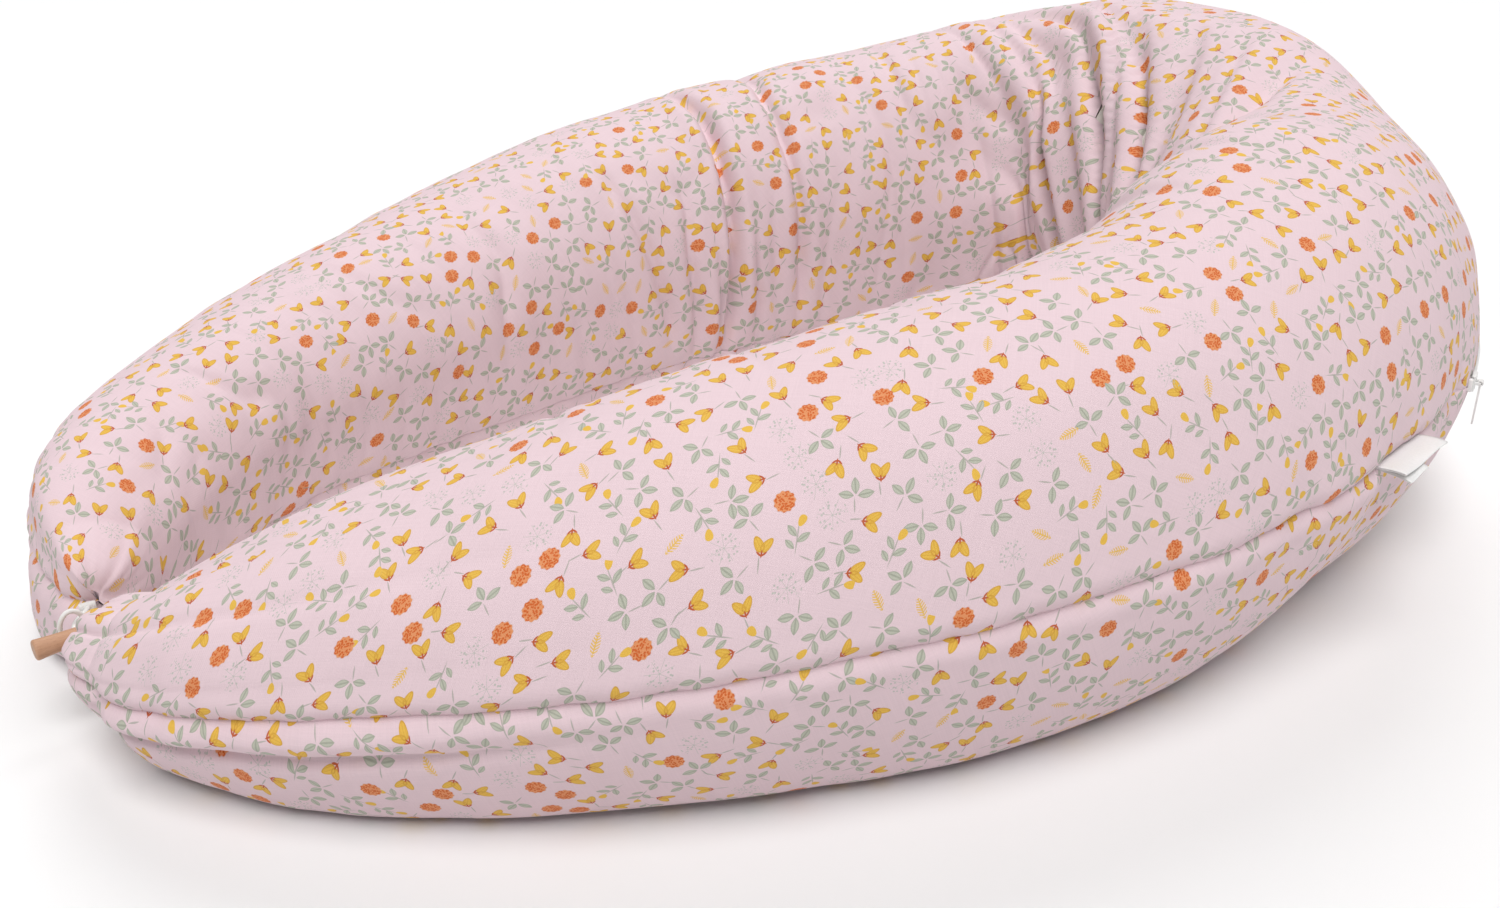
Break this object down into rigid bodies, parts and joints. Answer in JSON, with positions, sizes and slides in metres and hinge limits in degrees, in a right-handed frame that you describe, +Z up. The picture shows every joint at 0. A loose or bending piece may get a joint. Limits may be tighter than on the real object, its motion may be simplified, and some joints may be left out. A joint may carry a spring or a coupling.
{
  "type": "nursing pillow",
  "caption": "Long crescent nursing pillow curled into a closed ring and buttoned at the tips with a wooden toggle, in a zipped printed cotton cover.",
  "frame": {"origin": "centre of the outline on the plane that the pillow lies on", "axes": "+X towards the thick crown, away from the buttoned tips; +Z up"},
  "size_m": [0.9817, 0.7358, 0.2572],
  "materials": {
    "printed_cotton": "pale pink cotton satin printed with small flowers and leaves",
    "case_cotton": "plain unbleached cotton",
    "fibre": "hollow siliconised fibre",
    "seam_cotton": "folded and sewn seam edge",
    "zip_tape": "woven polyester tape",
    "zip_plastic": "white nylon",
    "label_satin": "white woven satin",
    "toggle_wood": "oiled beech",
    "cord_cotton": "white braided cotton cord"
  },
  "bodies": {
    "pillow": {"cover_upper_panel": "printed_cotton", "cover_lower_panel": "printed_cotton", "inner_case_upper": "case_cotton", "inner_case_lower": "case_cotton", "fibre_fill": "fibre", "outer_seam_front": "seam_cotton", "outer_seam_back": "seam_cotton", "inner_seam": "seam_cotton", "zip_tape_upper": "zip_tape", "zip_tape_lower": "zip_tape", "zip_coil_upper": "zip_plastic", "zip_coil_lower": "zip_plastic", "zip_stop_start": "zip_plastic", "zip_stop_end": "zip_plastic", "brand_label": "label_satin", "care_label": "label_satin", "closure_loop_tack": "cord_cotton", "toggle_cord_tack": "cord_cotton", "toggle_cord": "cord_cotton", "closure_loop": "cord_cotton"},
    "zip_slider": {"zip_slider": "zip_plastic"},
    "zip_pull": {"zip_pull_tab": "zip_plastic"},
    "toggle": {"wooden_toggle": "toggle_wood"}
  },
  "joints": [
    {"name": "zip_travel", "type": "hinge", "parent": "pillow", "child": "zip_slider", "pos_m": [0.0914, 0.0507, 0.119], "axis": [0, 0, 1], "range_deg": [0, 67.32]},
    {"name": "pull_swing", "type": "hinge", "parent": "zip_slider", "child": "zip_pull", "pos_m": [0.22692, -0.32894, 0.119], "axis": [-0.9418, -0.3362, 0], "range_deg": [0, 150]},
    {"name": "toggle_turn", "type": "hinge", "parent": "pillow", "child": "toggle", "pos_m": [-0.4676, 0.0477, 0.05], "axis": [0, 1, 0], "range_deg": [-20, 20]}
  ]
}
